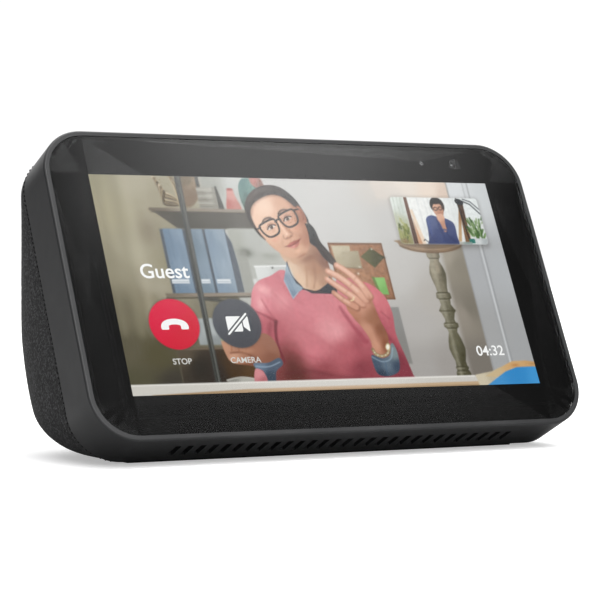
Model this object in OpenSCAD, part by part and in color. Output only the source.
// Smart display: a screen in a shallow front band, leaning back on a
// fabric-covered rear body that holds the loudspeaker and the sockets.
// Origin: middle of the footprint, on the surface that it stands on.
// Left to right is X, front to back is Y, up is Z.

/* [Body] */
// Width of the front band
body_w = 148; // [120:1:190]
// Height of the front band, along its slope
face_h = 86.1; // [76:0.1:110]
// Lean of the screen, back from upright
tilt = 25.5; // [18:0.5:32]
// Depth of the front band, square to the screen
band_d = 14.1; // [13.6:0.1:18]
// Radius of the four corners of the face
corner_r = 12.5; // [8:0.5:18]
// Front-to-back depth of the whole body
body_d = 73; // [70:1:95]
// Where the flat underside ends, behind the lowest front edge
base_end = 45; // [40:1:60]
// Height of the rearmost point of the back
belly_z = 30; // [24:1:36]
// How the back curves from the belly to the top: 1 is straight
back_curve = 1.35; // [1.1:0.05:1.8]
// Squareness of the body seen from above
plan_power = 3.8; // [2.5:0.1:5]

/* [Casing] */
// Wall of the front band
band_wall = 2; // [1.6:0.1:2.4]
// Width of the rim around the glass
rim_w = 1.5; // [1:0.1:2.5]
// Rounding of the rim's outer edge
edge_r = 0.6; // [0.2:0.1:1]
// Width of the ledge that the glass sits on
ledge_w = 1.6; // [1:0.1:2]
// Thickness of that ledge
ledge_t = 1.5; // [1:0.1:2]
// Gap between the band's outline and the fabric's
fabric_inset = 0.3; // [0.1:0.1:1]
// Thickness of the fabric with its backing
fabric_t = 0.9; // [0.6:0.1:1.5]
// Wall of the rear shell
shell_wall = 2; // [1.6:0.1:3]
// Thickness of the base plate
base_t = 2; // [1.5:0.1:3]
// How far the rubber foot stands proud of the base plate
foot_proud = 0.6; // [0.4:0.1:2]
// How deep the rubber foot sits in the base plate
foot_sink = 0.6; // [0.4:0.1:1]

/* [Screen] */
// Width of the lit picture
screen_w = 123.2; // [100:0.2:126]
// Height of the lit picture
screen_h = 61.6; // [50:0.2:63]
// Thickness of the cover glass
glass_t = 1.1; // [0.7:0.1:1.2]
// Thickness of the black mask printed behind the glass
mask_t = 0.15; // [0.1:0.05:0.2]
// Thickness of the touch sensor
touch_t = 0.45; // [0.3:0.05:0.6]
// Thickness of the liquid crystal panel
lcd_t = 1.4; // [1:0.1:1.6]
// Thickness of the backlight in its tray
light_t = 2.4; // [2:0.1:2.6]
// Thickness of the frame that carries the screen and the board
mid_t = 1.5; // [1.2:0.1:1.6]

/* [Camera] */
// Distance of the lens from the middle of the face
camera_x = 52.7; // [48:0.1:54]
// Depth of the lens below the top edge of the face
camera_drop = 6.35; // [6.2:0.05:7]
// Width of the camera housing
camera_w = 6; // [5:0.1:6.2]
// Travel of the camera shutter
shutter_travel = 6.5; // [6.3:0.1:7]

/* [Buttons] */
// Radius of each button cap
button_r = 3.6; // [3:0.1:3.7]
// Travel of each button
button_travel = 0.5; // [0.3:0.1:0.5]
// Height of the caps above the band
button_proud = 0.5; // [0.5:0.1:1]
// Distance of the buttons from the front of the face
button_depth = 7.4; // [7.3:0.1:7.7]
// Gap around each cap
button_gap = 0.2; // [0.1:0.05:0.3]

/* [Sound] */
// Width of each slot under the band
slot_w = 1.6; // [1:0.1:2]
// Length of each slot
slot_l = 6.2; // [4:0.1:7]
// Spacing of the slots
slot_pitch = 3.57; // [3:0.01:4]
// Number of slots
slot_count = 29; // [15:2:31]
// Outer radius of the loudspeaker
speaker_r = 21; // [19:0.5:22]
// Height of the middle of the loudspeaker
speaker_z = 36; // [33:0.5:38]

/* [Sockets] */
// Distance of the sockets from the middle of the back
socket_x = 46; // [42:1:50]
// Height of the middle of the socket recess
socket_z = 24; // [20:1:28]
// Radius of the plug hole in the power socket
jack_bore_r = 2.1; // [1.8:0.05:2.3]
// Radius of the centre pin in the power socket
jack_pin_r = 0.85; // [0.5:0.05:1]
// Length of the centre pin
jack_pin_l = 7; // [5:0.5:7.5]

/* [Hidden] */
$fn = 48;

band_col = "#2e2f31";
black_col = "#101112";
fabric_col = "#3b3c3f";
metal_col = "#b9bcc0";
board_col = "#1f5b3a";
brass_col = "#c9a44c";
hair = 0.01;
fit_gap = 0.15;
moving_gap = 0.3;

// Placing: the face frame has X to the right, Y up the slope and Z out of the screen
front_y = -body_d / 2;
face_z = foot_proud + band_d * sin(tilt);
module on_face() {
    translate([0, front_y, face_z]) rotate([90 - tilt, 0, 0]) children();
}
module in_body() {
    translate([0, front_y, foot_proud]) children();
}

// Depths behind the front of the face
mid_v = face_h / 2;
glass_d = 0.15;
mask_d = glass_d + glass_t;
seat_d = mask_d + mask_t;
ledge_d = seat_d + ledge_t;
lcd_d = seat_d + touch_t;
light_d = lcd_d + lcd_t;
mid_d = light_d + light_t;
mid_back = mid_d + mid_t;
board_gap = 3.85;
board_d = mid_back + board_gap;
board_t = 1.2;
board_back = board_d + board_t;

// Outline of the rear body, level by level
top_z = face_h * cos(tilt);
belly_y = body_d + fabric_inset;
seam_y = band_d * cos(tilt);
top_y = seam_y + top_z * tan(tilt);
close_rate = (belly_y - top_y) * back_curve / (top_z - belly_z) + tan(tilt);
top_cap = 0.45;
levels = 22;
sweep = 44;

function seam_at(z) = seam_y + z * tan(tilt);
function face_half(z, o) =
    let (h = z / cos(tilt), e = min(h, face_h - h) - o, r = corner_r - o)
    body_w / 2 - corner_r + (e < r ? sqrt(max(0, r * r - (r - e) * (r - e))) : r);
function back_at(z, o) = z > belly_z
    ? belly_y - o - (belly_y - top_y) * pow((z - belly_z) / (top_z - belly_z), back_curve)
    : base_end + (belly_y - base_end - o)
        * sqrt(max(0, 1 - pow((belly_z - z) / (belly_z - o), 2)));
function level_z(i, o) =
    let (high = top_z - (o + top_cap) / close_rate)
    o + (high - o) * (1 - cos(180 * i / levels)) / 2;
function plan_point(t, z, o) =
    let (a = face_half(z, o), d = back_at(z, o) - seam_at(z), q = 2 / plan_power)
    [a * sign(cos(t)) * pow(abs(cos(t)), q), seam_at(z) + d * pow(max(0, sin(t)), q), z];
function level_ring(z, o, out) = concat(
    out > 0 ? [[face_half(z, o), seam_at(z) - out, z]] : [],
    [for (j = [0:sweep]) plan_point(180 * j / sweep, z, o)],
    out > 0 ? [[-face_half(z, o), seam_at(z) - out, z]] : []
);

// The rear body drawn in by "o", and reaching "out" in front of the seam
module rear_form(o, out = 0) {
    rings = [for (i = [0:levels]) level_ring(level_z(i, o), o, out)];
    n = len(rings[0]);
    points = [for (ring = rings) each ring];
    sides = [for (i = [0:levels - 1], j = [0:n - 1])
        let (k = (j + 1) % n, a = i * n + j, b = i * n + k, c = a + n, e = b + n)
        each [[a, c, b], [b, c, e]]];
    low = [for (j = [0:n - 1]) j];
    high = [for (j = [n - 1:-1:0]) levels * n + j];
    in_body() polyhedron(points, concat(sides, [low, high]), convexity = 4);
}

// The flat of the underside, drawn in by "o"
module base_outline(o) {
    half = body_w / 2 - corner_r - o;
    reach = base_end - o - seam_y;
    q = 2 / plan_power;
    translate([0, front_y]) polygon([for (j = [0:sweep]) let (t = 180 * j / sweep)
        [half * sign(cos(t)) * pow(abs(cos(t)), q),
            seam_y + max(o, reach * pow(max(0, sin(t)), q))]]);
}

shell_o = fabric_inset + fabric_t;
inner_o = shell_o + shell_wall;
base_o = 1.6;
foot_o = base_o + 1.4;
base_top = foot_proud + base_t;

// Rounded rectangles on the face
module face_plate(w, h, r, d, t) {
    translate([0, mid_v, -d - t]) linear_extrude(t) rounded(w, h, r);
}
module rounded(w, h, r) {
    square([w - 2 * r, h], center = true);
    square([w, h - 2 * r], center = true);
    for (x = [-1, 1], y = [-1, 1]) translate([x * (w / 2 - r), y * (h / 2 - r)]) circle(r);
}
module face_box(x0, x1, v0, v1, d0, d1) {
    translate([x0, v0, -d1]) cube([x1 - x0, v1 - v0, d1 - d0]);
}
module face_rod(x, v, d0, d1, r) {
    translate([x, v, -d1]) cylinder(r = r, h = d1 - d0);
}
module up_rod(x, v0, v1, d, r) {
    translate([x, v1, -d]) rotate([90, 0, 0]) cylinder(r = r, h = v1 - v0);
}

// A profile carried round the face's outline: its X is the distance out from the corner centres
module sweep_round() {
    cx = body_w / 2 - corner_r;
    cy = face_h / 2 - corner_r;
    translate([0, mid_v, 0]) {
        for (s = [0, 1]) rotate(180 * s) {
            translate([cx, cy, 0]) rotate([90, 0, 0]) linear_extrude(2 * cy) children();
            translate([-cx, cy, 0]) rotate([90, 0, 90]) linear_extrude(2 * cx) children();
            translate([cx, cy, 0]) rotate_extrude(angle = 90) children();
            translate([-cx, cy, 0]) rotate(90) rotate_extrude(angle = 90) children();
        }
    }
}
module band_profile() {
    rim_in = corner_r - rim_w;
    wall_in = corner_r - band_wall;
    difference() {
        polygon([
            [rim_in, -seat_d], [rim_in, 0], [corner_r, 0], [corner_r, -band_d],
            [wall_in, -band_d], [wall_in, -ledge_d], [rim_in - ledge_w, -ledge_d],
            [rim_in - ledge_w, -seat_d]
        ]);
        difference() {
            translate([corner_r - edge_r, -edge_r]) square(2 * edge_r);
            translate([corner_r - edge_r, -edge_r]) circle(edge_r);
        }
    }
}

// Where things stand along the top of the band
top_v = face_h - band_wall;
camera_v = face_h - camera_drop;
pipe_x = camera_x - 11;
camera_hole_r = 1.6;
light_hole_r = 0.7;
mic_x = [-20, 24];
mute_x = -34;
down_x = -6;
up_x = 10;
switch_v = face_h - 6.7;
switch_t = 1;
board_v0 = switch_v - 1;
stem_v = switch_v + switch_t + button_travel + 0.1;
flange_r = button_r + 0.7;
shutter_x = camera_x + shutter_travel;
knob_depth = button_depth;
neck_w = 3;
neck_d = 2;
blade_w = 6.6;
blade_d = ledge_d + moving_gap;
blade_t = 0.6;
shutter_web = 0.6;
cam_board_top = camera_v + camera_w / 2;
blade_top = cam_board_top + moving_gap + shutter_web;

// Screen stack outlines
lcd_w = screen_w + 3.2;
lcd_top = mid_v + screen_h / 2 + 1.2;
lcd_low = mid_v - screen_h / 2 - 4.8;
gasket_rim = 1.5;
gasket_top = lcd_top + 0.9;
frame_notch_v = lcd_top + 1.1;
frame_w = body_w - 2 * band_wall - 0.4;
frame_h = face_h - 2 * band_wall - 0.4;
frame_r = corner_r - band_wall - 0.2;

// Loudspeaker box, as far forward as the leaning frame and board allow
speaker_face = 56.5;
box_half = speaker_r + 2;
flange_t = 1.5;
frame_room = 4.62;
box_front = (speaker_z + box_half - face_z) * tan(tilt) + (mid_back + frame_room) / cos(tilt);
box_depth = speaker_face - flange_t - box_front;
board_room = 0.3;
board_top = (box_front - board_room - board_back * cos(tilt)) / sin(tilt);
flex_rise = 0.8;

// Screws: M2 through the frame, M1.6 on the board
side_x = body_w / 2 - band_wall - 2.4;
tie_x = body_w / 2 - band_wall - 3.1;
frame_spots = [
    [-side_x, 14], [side_x, 14], [-side_x, face_h - 15.6], [side_x, face_h - 15.6]
];
tie_spots = [[-tie_x, 29], [tie_x, 29], [-tie_x, face_h - 28], [tie_x, face_h - 28]];
board_left = -48;
board_right = 40;
flex_reach = 7.75;
board_low = lcd_low + flex_rise + flex_reach;
board_inset = 4;
board_spots = [for (x = [board_left + board_inset, board_right - board_inset])
    each [[x, board_low + board_inset], [x, board_top - board_inset]]];
base_spots = [for (x = [-1, 1]) each [[x * 40, 20], [x * 40, base_end - 10]]];
screw_r = 0.95;
pilot_r = 0.95;
pass_r = 1.15;
small_r = 0.75;
boss_r = 2.2;

module band_bosses() {
    for (s = frame_spots) face_rod(s[0], s[1], ledge_d - hair, mid_d, 2.1);
}
module front_band() {
    color(band_col) on_face() difference() {
        union() {
            sweep_round() band_profile();
            band_bosses();
        }
        for (s = frame_spots) face_rod(s[0], s[1], ledge_d + 0.2, mid_d + 1, pilot_r);
        first = -(slot_count - 1) / 2 * slot_pitch;
        slot_start = 4.6;
        for (i = [0:slot_count - 1])
            face_box(first + i * slot_pitch - slot_w / 2, first + i * slot_pitch + slot_w / 2,
                -1, band_wall + 1, slot_start, slot_start + slot_l);
        for (x = [mute_x, down_x, up_x])
            up_rod(x, top_v - 1, face_h + 1, button_depth, button_r + button_gap);
        for (x = mic_x) up_rod(x, top_v - 1, face_h + 1, button_depth, 0.6);
        face_box(camera_x - neck_w / 2 - moving_gap, shutter_x + neck_w / 2 + moving_gap,
            top_v - 1, face_h + 1, knob_depth - neck_d / 2 - moving_gap,
            knob_depth + neck_d / 2 + moving_gap);
    }
}

module cover_glass() {
    color("#18191b") on_face() face_plate(
        body_w - 2 * rim_w - 0.2, face_h - 2 * rim_w - 0.2, corner_r - rim_w - 0.1, glass_d, glass_t);
}
module glass_mask() {
    color(black_col) on_face() difference() {
        face_plate(body_w - 2 * rim_w - 0.2, face_h - 2 * rim_w - 0.2, corner_r - rim_w - 0.1,
            mask_d, mask_t);
        face_box(-screen_w / 2, screen_w / 2, mid_v - screen_h / 2, mid_v + screen_h / 2,
            mask_d - 1, seat_d + 1);
        face_rod(camera_x, camera_v, mask_d - 1, seat_d + 1, camera_hole_r);
        face_rod(pipe_x, camera_v, mask_d - 1, seat_d + 1, light_hole_r);
    }
}
module touch_sensor() {
    color("#26292c") on_face() face_box(-lcd_w / 2, lcd_w / 2, lcd_low, lcd_top, seat_d, lcd_d);
}
module lcd_panel() {
    color("#35506b") on_face() face_box(-lcd_w / 2, lcd_w / 2, lcd_low, lcd_top, lcd_d, light_d);
}
module backlight() {
    color("#dfe2e4") on_face() face_box(-lcd_w / 2, lcd_w / 2, lcd_low, lcd_top, light_d, mid_d);
}
module display_gasket() {
    color("#202123") on_face() difference() {
        face_box(-lcd_w / 2 - gasket_rim - 0.1, lcd_w / 2 + gasket_rim + 0.1,
            lcd_low - gasket_rim, gasket_top, seat_d, mid_d);
        face_box(-lcd_w / 2 - 0.1, lcd_w / 2 + 0.1, lcd_low - 0.1, lcd_top + 0.1,
            seat_d - 1, mid_d + 1);
    }
}

// The carrier for the screen, the board and the cameras
flex_v = lcd_low + flex_rise;
flex_t = 0.3;
flex_w = 20;
peg_x = [-38, 28];
window_x = 44;
window_v = mid_v + 8;
module frame_windows(d, t) {
    for (x = [-1, 1]) translate([x * window_x, window_v, -d - t - 1])
        linear_extrude(t + 2) rounded(20, 12, 3);
}
cam_board_x = [pipe_x - 2, camera_x + 3.5];
cam_board_low = frame_notch_v - 7;
cam_screw_x = [pipe_x, camera_x + 1.5];
module mid_frame() {
    color("#4a4d51") on_face() difference() {
        union() {
            difference() {
                face_plate(frame_w, frame_h, frame_r, mid_d, mid_t);
                face_box(-45, body_w / 2 - 8, frame_notch_v, face_h, mid_d - 1, mid_back + 1);
                frame_windows(mid_d, mid_t);
            }
            for (s = board_spots) face_rod(s[0], s[1], mid_back - hair, board_d, boss_r);
            for (x = peg_x) {
                face_box(x - 2, x + 2, frame_notch_v - hair, board_v0, mid_d, mid_back);
                up_rod(x, board_v0 - hair, switch_v + 0.6, (mid_d + mid_back) / 2, 0.6);
            }
        }
        for (s = frame_spots) face_rod(s[0], s[1], mid_d - 1, mid_back + 1, pass_r);
        for (s = tie_spots) face_rod(s[0], s[1], mid_d - 1, mid_back + 1, pass_r);
        for (s = board_spots) face_rod(s[0], s[1], mid_d + 0.4, board_d + 1, small_r);
        for (x = cam_screw_x) face_rod(x, cam_board_low + 1.8, mid_d - 1, mid_back + 1, small_r);
        face_box(-flex_w / 2 - 1, flex_w / 2 + 1, flex_v - 1, flex_v + flex_t + 1,
            mid_d - 1, mid_back + 1);
    }
}

spread_t = 0.8;
spread_d = mid_back + spread_t;
can_d = board_d - 2;
chip_v = (board_low + board_top) / 2;
chip_x = -14;
module heat_spreader() {
    color(metal_col) on_face() difference() {
        translate([-4, mid_v - 5, -spread_d]) linear_extrude(spread_t) rounded(108, 50, 3);
        for (s = board_spots) face_rod(s[0], s[1], mid_back - 1, spread_d + 1, boss_r + fit_gap);
        frame_windows(mid_back, spread_t);
    }
}
module thermal_pad() {
    color("#8f9aa6") on_face() face_box(chip_x - 10, chip_x + 10, chip_v - 10, chip_v + 10,
        spread_d, can_d - 0.2);
}
module main_board() {
    color(board_col) on_face() difference() {
        face_box(board_left, board_right, board_low, board_top, board_d, board_back);
        for (s = board_spots) face_rod(s[0], s[1], board_d - 1, board_back + 1, small_r + 0.2);
    }
}
module processor() {
    color(black_col) on_face() face_box(chip_x - 7.5, chip_x + 7.5, chip_v - 7.5, chip_v + 7.5,
        board_d - 1.4, board_d);
}
module can(x, v, w, h, d0, d1, open_back) {
    t = 0.2;
    difference() {
        face_box(x - w / 2, x + w / 2, v - h / 2, v + h / 2, d0, d1);
        face_box(x - w / 2 + t, x + w / 2 - t, v - h / 2 + t, v + h / 2 - t,
            open_back ? d0 + t : d0 - 1, open_back ? d1 + 1 : d1 - t);
    }
}
module shield_cans() {
    color(metal_col) on_face() {
        can(chip_x, chip_v, 34, 28, can_d - 0.2, board_d, true);
        can(-30, chip_v + 6, 24, 20, board_back, board_back + 2, false);
    }
}
plug_t = 1.2;
plug_d = board_back + plug_t;
plug_low = board_low + 2;
plug_top = board_low + 6;
wire_x = 12;
wire_v = chip_v + 1;
link_x = 36.5;
link_v = 30;
module board_connectors() {
    color("#d9d4c6") on_face() {
        face_box(-flex_w / 2, flex_w / 2, plug_low, plug_top, board_back, plug_d);
        face_box(wire_x - 2, wire_x + 2, wire_v - 1.5, wire_v + 1.5, board_back, plug_d);
        face_box(link_x - 3, link_x + 3, link_v - 1.5, link_v + 1.5, board_back, plug_d);
    }
}
module wifi_antennas() {
    inner = body_w / 2 - band_wall;
    color(brass_col) on_face() for (s = [0, 1]) mirror([s, 0, 0])
        face_box(inner - 0.35, inner, 34, 54, mid_back + 0.6, band_d - 0.5);
}
module display_flex() {
    color("#b4702c") on_face() {
        face_box(-flex_w / 2, flex_w / 2, flex_v, flex_v + flex_t, mid_d, plug_d + flex_t);
        face_box(-flex_w / 2, flex_w / 2, flex_v + flex_t, plug_top, plug_d, plug_d + flex_t);
    }
}

// Camera and its shutter
cam_t = 2.55;
cam_board_t = 0.8;
module camera_board() {
    color(board_col) on_face() difference() {
        face_box(cam_board_x[0], cam_board_x[1], cam_board_low, cam_board_top,
            mid_back, mid_back + cam_board_t);
        for (x = cam_screw_x)
            face_rod(x, cam_board_low + 1.8, mid_back - 1, mid_back + 2, small_r + 0.1);
    }
}
module camera_housing() {
    h = camera_w / 2;
    color(black_col) on_face() difference() {
        face_box(camera_x - h, camera_x + h, camera_v - h, camera_v + h, mid_back - cam_t, mid_back);
        face_rod(camera_x, camera_v, mid_back - cam_t - 1, mid_back - cam_t + 0.2 + lens_t, lens_r);
    }
}
lens_r = 1.9;
lens_t = 0.8;
module camera_lens() {
    dome_r = 2.4;
    rise = 0.7;
    color("#2a3350") on_face() translate([camera_x, camera_v, cam_t - 0.2 - mid_back])
        rotate_extrude() {
            translate([0, -lens_t]) square([lens_r, lens_t]);
            intersection() {
                translate([0, rise - dome_r]) circle(dome_r);
                translate([0, -hair]) square([lens_r, 2]);
            }
        }
}
module light_sensor() {
    color("#e7e2cf") on_face()
        face_box(pipe_x - 1.5, pipe_x + 1.5, camera_v - 1.2, camera_v + 1.2, mid_back - 1, mid_back);
}
module light_pipe() {
    color("#eef2f4") on_face() {
        face_rod(pipe_x, camera_v, seat_d, mid_back - 1, 0.9);
    }
}
module camera_shutter() {
    back = knob_depth + neck_d / 2;
    knob_l = 8;
    knob_h = 1.1;
    knob_v = face_h + 0.15;
    color(band_col) on_face() {
        face_box(shutter_x - blade_w / 2, shutter_x + blade_w / 2, camera_v - 3, blade_top,
            blade_d, blade_d + blade_t);
        face_box(shutter_x - blade_w / 2, shutter_x + blade_w / 2, blade_top - shutter_web, blade_top,
            blade_d + blade_t - hair, back);
        face_box(shutter_x - neck_w / 2, shutter_x + neck_w / 2, blade_top - hair,
            knob_v + hair, back - neck_d, back);
        difference() {
            translate([shutter_x, knob_v + knob_h, -knob_depth]) rotate([90, 0, 0])
                linear_extrude(knob_h) rounded(knob_l, 3.6, 1.2);
            for (i = [-2:2])
                face_box(shutter_x + i * 1.2 - 0.2, shutter_x + i * 1.2 + 0.2,
                    knob_v + knob_h - 0.3, face_h + 3, knob_depth - 1.3, knob_depth + 1.3);
        }
    }
}

// Buttons, pressed down into the band against small switches
module button(x) {
    up_rod(x, top_v - 0.6, face_h + button_proud, button_depth, button_r);
    up_rod(x, top_v - 0.9, top_v - 0.05, button_depth, flange_r);
    up_rod(x, stem_v, top_v - 0.9 + hair, button_depth, 1.2);
}
module button_cut(x, w, l) {
    cap_v = face_h + button_proud;
    translate([x, cap_v, -button_depth]) cube([w, 0.4, l], center = true);
}
module mic_button() {
    cap_v = face_h + button_proud;
    color(band_col) on_face() difference() {
        button(mute_x);
        translate([mute_x, cap_v + 0.2, -button_depth]) rotate([90, 0, 0]) difference() {
            cylinder(r = 1.9, h = 0.4);
            translate([0, 0, -1]) cylinder(r = 1.5, h = 3);
        }
        translate([mute_x, cap_v, -button_depth]) rotate([0, 45, 0])
            cube([2.8, 0.4, 0.4], center = true);
    }
}
module volume_down_button() {
    color(band_col) on_face() difference() {
        button(down_x);
        button_cut(down_x, 2.6, 0.5);
    }
}
module volume_up_button() {
    color(band_col) on_face() difference() {
        button(up_x);
        button_cut(up_x, 2.6, 0.5);
        button_cut(up_x, 0.5, 2.6);
    }
}
module button_board() {
    color(board_col) on_face() difference() {
        face_box(-41, 31, board_v0, switch_v, button_depth - 3.8, button_depth + 3.8);
        for (x = peg_x) up_rod(x, board_v0 - 1, switch_v + 1, (mid_d + mid_back) / 2, 0.65);
    }
}
module button_switches() {
    color(metal_col) on_face() for (x = [mute_x, down_x, up_x]) {
        face_box(x - 2.2, x + 2.2, switch_v, switch_v + switch_t - 0.3,
            button_depth - 1.7, button_depth + 1.7);
        up_rod(x, switch_v + switch_t - 0.3 - hair, switch_v + switch_t, button_depth, 1);
    }
}
mic_h = 1;
module microphones() {
    color(brass_col) on_face() for (x = mic_x) difference() {
        face_box(x - 1.75, x + 1.75, switch_v, switch_v + mic_h, button_depth - 1.35,
            button_depth + 1.35);
        up_rod(x, switch_v + mic_h - 0.3, switch_v + mic_h + 1, button_depth, 0.4);
    }
}
module mic_boots() {
    color(black_col) on_face() for (x = mic_x) difference() {
        up_rod(x, switch_v + mic_h, top_v, button_depth, 1.6);
        up_rod(x, switch_v + mic_h - 1, top_v + 1, button_depth, 0.6);
    }
}

// Rear body: speaker frame has its Z out of the back and its Y downwards
module at_speaker() {
    translate([0, front_y + speaker_face, speaker_z]) rotate([-90, 0, 0]) children();
}
seal_t = 0.8;
ear_x = box_half + 3.2;
ear_y = 13;
ring_in = speaker_r - 3.6;
socket_r = 6;
socket_half = 6;
socket_floor = 66.4;
floor_t = 1.5;

module oblong(r, half) {
    square([2 * r, 2 * half], center = true);
    for (s = [-1, 1]) translate([0, s * half]) circle(r);
}
module socket_prism(r, y0, y1) {
    translate([socket_x, front_y + y0, socket_z]) rotate([-90, 0, 0])
        linear_extrude(y1 - y0) oblong(r, socket_half);
}
shell_boss_r = 2.6;
far_back = 90;
module shell_features() {
    at_speaker() {
        translate([0, 0, seal_t]) difference() {
            cylinder(r = speaker_r + 0.5, h = 30);
            translate([0, 0, -1]) cylinder(r = ring_in, h = 40);
        }
        for (x = [-1, 1], y = [-1, 1])
            translate([x * ear_x, y * ear_y, -flange_t]) cylinder(r = shell_boss_r, h = 30);
    }
    socket_prism(socket_r + 1.6, socket_floor - floor_t - 5, far_back);
    for (s = base_spots) translate([s[0], front_y + s[1], foot_proud + shell_o])
        cylinder(r = shell_boss_r, h = shell_wall + 7);
}
module shell_ties() {
    on_face() for (s = tie_spots) face_rod(s[0], s[1], mid_back, band_d + 8, shell_boss_r);
}
module grille_cuts() {
    half = ring_in - 1.5;
    pitch = 3.4;
    count = 4;
    at_speaker() for (i = [-count:count]) {
        reach = sqrt(half * half - pow(i * pitch, 2));
        translate([i * pitch - 0.9, -reach, 1]) cube([1.8, 2 * reach, 30]);
    }
}
module rear_shell() {
    color(black_col) difference() {
        union() {
            difference() {
                rear_form(shell_o);
                difference() {
                    rear_form(inner_o, 4);
                    shell_features();
                }
            }
            shell_ties();
        }
        translate([0, 0, -1]) linear_extrude(base_top + 1) base_outline(base_o - fit_gap);
        translate([0, 0, -1]) linear_extrude(foot_proud + inner_o + 3) floor_opening();
        for (s = base_spots) translate([s[0], front_y + s[1], 0]) cylinder(r = pilot_r, h = 9.5);
        on_face() for (s = tie_spots) face_rod(s[0], s[1], mid_back - 1, band_d + 4, pilot_r);
        at_speaker() for (x = [-1, 1], y = [-1, 1])
            translate([x * ear_x, y * ear_y, -flange_t - 1]) cylinder(r = pilot_r, h = 7.5);
        grille_cuts();
        socket_prism(socket_r + 0.1, 50, far_back);
    }
}
module floor_opening() {
    difference() {
        translate([-34, front_y + seam_y + 6]) square([68, base_end - seam_y - 16]);
        for (s = base_spots) translate([s[0], front_y + s[1]]) circle(3.5);
    }
}
module fabric_cover() {
    color(fabric_col) difference() {
        rear_form(fabric_inset);
        rear_form(shell_o, 4);
        translate([0, 0, -1]) linear_extrude(base_top + 1) base_outline(base_o - fit_gap);
        socket_prism(socket_r + 0.1, 50, far_back);
    }
}
module base_plate() {
    color(black_col) difference() {
        translate([0, 0, foot_proud]) linear_extrude(base_t) base_outline(base_o);
        translate([0, 0, -1]) linear_extrude(foot_proud + foot_sink + 1) base_outline(foot_o);
        for (s = base_spots) translate([s[0], front_y + s[1], 0]) {
            cylinder(r = pass_r, h = 10);
            cylinder(r = 2, h = foot_proud + foot_sink + 0.9);
        }
    }
}
module rubber_foot() {
    color("#1b1c1d") linear_extrude(foot_proud + foot_sink) base_outline(foot_o + 0.1);
}

// Loudspeaker
cone_r = speaker_r - 8.4;
roll_r = speaker_r - 5;
pole_r = 4.2;
coil_in = 4.5;
coil_out = 4.9;
plate_in = 5.2;
magnet_r = 12;
module speaker_basket() {
    color("#3d4044") at_speaker() difference() {
        rotate_extrude() polygon([
            [roll_r, 0], [speaker_r, 0], [speaker_r, -flange_t], [roll_r + 1.2, -flange_t],
            [magnet_r + 1.4, -9], [7.5, -9], [7.5, -8], [magnet_r + 0.6, -8], [roll_r, -1.2]
        ]);
        for (a = [0:90:270]) rotate(a + 45)
            translate([8, -4, -7.6]) cube([12, 8, 5]);
    }
}
module speaker_top_plate() {
    color(metal_col) at_speaker() translate([0, 0, -10.2]) difference() {
        cylinder(r = magnet_r, h = 1.2);
        translate([0, 0, -1]) cylinder(r = plate_in, h = 4);
    }
}
module speaker_magnet() {
    color("#2b2c2e") at_speaker() translate([0, 0, -14.2]) difference() {
        cylinder(r = magnet_r + 0.5, h = 4);
        translate([0, 0, -1]) cylinder(r = plate_in + 0.8, h = 6);
    }
}
module speaker_yoke() {
    color(metal_col) at_speaker() {
        translate([0, 0, -15.4]) cylinder(r = magnet_r, h = 1.2);
        translate([0, 0, -14.2 - hair]) cylinder(r = pole_r, h = 5.2);
    }
}
module speaker_cone() {
    cap_r = 6;
    sink = sqrt(cap_r * cap_r - coil_out * coil_out);
    color("#55585c") at_speaker() {
        rotate_extrude() polygon([
            [coil_out, -5.6], [cone_r, -1.4], [cone_r, -0.9], [coil_out, -5]
        ]);
        translate([0, 0, -5]) difference() {
            intersection() {
                translate([0, 0, -sink]) sphere(cap_r);
                translate([0, 0, -0.6]) cylinder(r = coil_out + hair, h = 4);
            }
            translate([0, 0, -sink]) sphere(cap_r - 0.4);
        }
    }
}
module voice_coil() {
    color("#b8693a") at_speaker() translate([0, 0, -12.4]) difference() {
        cylinder(r = coil_out - hair, h = 6.6);
        translate([0, 0, -1]) cylinder(r = coil_in, h = 9);
    }
}
module speaker_surround() {
    mid = (cone_r + roll_r) / 2;
    out = (roll_r - cone_r) / 2;
    color(black_col) at_speaker() translate([0, 0, -1.2]) rotate_extrude() difference() {
        translate([mid, 0]) circle(out);
        translate([mid, 0]) circle(out - 0.4);
        translate([0, -10]) square([30, 10]);
    }
}
module speaker_spider() {
    color("#c79a4b") at_speaker() translate([0, 0, -7.4]) difference() {
        cylinder(r = magnet_r + 0.7, h = 0.4);
        translate([0, 0, -1]) cylinder(r = coil_out + 0.02, h = 3);
    }
}
module speaker_gasket() {
    color(black_col) at_speaker() difference() {
        cylinder(r = speaker_r, h = seal_t);
        translate([0, 0, -1]) cylinder(r = ring_in, h = 4);
    }
}
module speaker_box() {
    wall = 1.5;
    color("#303235") difference() {
        at_speaker() difference() {
            union() {
                translate([0, 0, -flange_t - box_depth]) linear_extrude(box_depth)
                    rounded(2 * box_half, 2 * box_half, 6);
                translate([0, 0, -flange_t - 1.5]) linear_extrude(1.5)
                    for (y = [-1, 1]) translate([0, y * ear_y]) rounded(2 * ear_x + 6, 7, 3);
            }
            translate([0, 0, -flange_t - box_depth + wall]) linear_extrude(box_depth - 2 * wall)
                rounded(2 * (box_half - wall), 2 * (box_half - wall), 4.5);
            translate([0, 0, -flange_t - 3]) cylinder(r = roll_r + 1.6, h = 6);
            for (x = [-1, 1], y = [-1, 1]) translate([x * ear_x, y * ear_y, -flange_t - 3])
                cylinder(r = pass_r, h = 6);
        }
        on_face() for (s = [-1, 1]) face_rod(wire_x + s, wire_v, 15, 40, 0.7);
    }
}
wire_end = (speaker_face - flange_t - box_depth + 1.9 - wire_v * sin(tilt)) / cos(tilt);
module speaker_wires() {
    color("#9c2f2a") on_face() for (s = [-1, 1])
        face_rod(wire_x + s, wire_v, plug_d, wire_end, 0.5);
}

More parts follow.
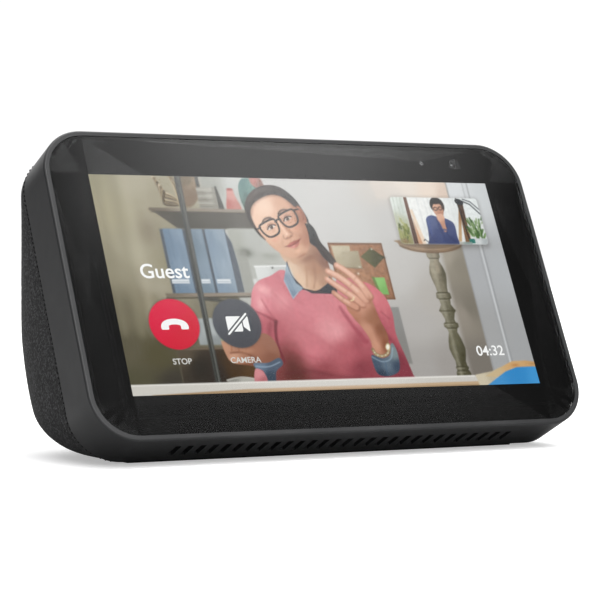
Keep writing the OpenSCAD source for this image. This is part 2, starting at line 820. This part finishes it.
// Sockets in the back
module port_plate() {
    color("#26272a") difference() {
        intersection() {
            socket_prism(socket_r, socket_floor - floor_t - 3, far_back);
            rear_form(0);
        }
        socket_prism(socket_r - 1, socket_floor, far_back);
        socket_prism(socket_r - 1, socket_floor - floor_t - 4, socket_floor - floor_t);
        at_jack() translate([0, 0, -5]) cylinder(r = 2.6, h = 10);
        at_usb() cube([7.4, 2.6, 10], center = true);
    }
}
jack_z = socket_z - 5;
usb_z = socket_z + 6;
socket_l = 8;
module at_jack() {
    translate([socket_x, front_y + socket_floor - floor_t, jack_z]) rotate([-90, 0, 0]) children();
}
module at_usb() {
    translate([socket_x, front_y + socket_floor - floor_t, usb_z]) rotate([-90, 0, 0]) children();
}
module power_jack() {
    color(black_col) at_jack() difference() {
        translate([0, 0, -socket_l]) cylinder(r = 4.2, h = socket_l);
        translate([0, 0, -jack_pin_l]) cylinder(r = jack_bore_r, h = 20);
    }
}
module jack_pin() {
    color(metal_col) at_jack() translate([0, 0, -jack_pin_l]) cylinder(r = jack_pin_r, h = jack_pin_l);
}
module usb_socket() {
    color(metal_col) at_usb() difference() {
        translate([0, 0, -socket_l / 2]) cube([7.8, 3, socket_l], center = true);
        translate([0, 0, -2]) cube([7.2, 2.4, 7], center = true);
    }
}
module usb_tongue() {
    color(black_col) at_usb() translate([0, -0.3, -3.5]) cube([4, 0.7, 4], center = true);
}
port_board_y = socket_floor - floor_t - socket_l;
module port_board() {
    color(board_col) translate([0, front_y + port_board_y - 1, 0])
        translate([34, 0, 11]) cube([socket_x - 26, 1, 24.5]);
}
link_end = (port_board_y - 1.3 - link_v * sin(tilt)) / cos(tilt);
module port_wires() {
    color("#c7c9cc") on_face() for (i = [0:3])
        face_rod(link_x - 1.8 + 1.2 * i, link_v, plug_d, link_end, 0.45);
}

// Fasteners
module screw(head_r, head_t, r, l) {
    difference() {
        union() {
            cylinder(r = head_r, h = head_t);
            translate([0, 0, -l]) cylinder(r = r, h = l + hair);
        }
        for (a = [0, 90]) rotate(a) translate([0, 0, head_t]) cube([head_r, 0.35, 0.7], center = true);
    }
}
module frame_screws() {
    color(metal_col) on_face() for (s = frame_spots)
        translate([s[0], s[1], -mid_back]) mirror([0, 0, 1]) screw(1.8, 1, screw_r, mid_t + 2.2);
}
module shell_screws() {
    color(metal_col) on_face() for (s = tie_spots)
        translate([s[0], s[1], -mid_d]) screw(1.8, 1, screw_r, mid_t + 7);
}
module board_screws() {
    color(metal_col) on_face() {
        for (s = board_spots) translate([s[0], s[1], -board_back]) mirror([0, 0, 1])
            screw(1.6, 0.8, small_r, board_t + 3);
        for (x = cam_screw_x) translate([x, cam_board_low + 1.8, -mid_back - cam_board_t])
            mirror([0, 0, 1]) screw(1.3, 0.6, small_r, cam_board_t + mid_t);
    }
}
module base_screws() {
    color(metal_col) for (s = base_spots)
        translate([s[0], front_y + s[1], foot_proud + foot_sink + 0.9]) mirror([0, 0, 1])
            screw(1.7, 0.8, screw_r, 6);
}
module speaker_screws() {
    color(metal_col) at_speaker() for (x = [-1, 1], y = [-1, 1])
        translate([x * ear_x, y * ear_y, -flange_t - 1.5]) mirror([0, 0, 1])
            screw(1.8, 1, screw_r, 6);
}

front_band();
cover_glass();
glass_mask();
touch_sensor();
lcd_panel();
backlight();
display_gasket();
mid_frame();
heat_spreader();
thermal_pad();
main_board();
processor();
shield_cans();
board_connectors();
wifi_antennas();
display_flex();
camera_board();
camera_housing();
camera_lens();
light_sensor();
light_pipe();
camera_shutter();
mic_button();
volume_down_button();
volume_up_button();
button_board();
button_switches();
microphones();
mic_boots();
rear_shell();
fabric_cover();
base_plate();
rubber_foot();
speaker_basket();
speaker_magnet();
speaker_top_plate();
speaker_yoke();
speaker_cone();
voice_coil();
speaker_surround();
speaker_spider();
speaker_gasket();
speaker_box();
speaker_wires();
port_plate();
port_board();
port_wires();
power_jack();
jack_pin();
usb_socket();
usb_tongue();
frame_screws();
shell_screws();
board_screws();
base_screws();
speaker_screws();
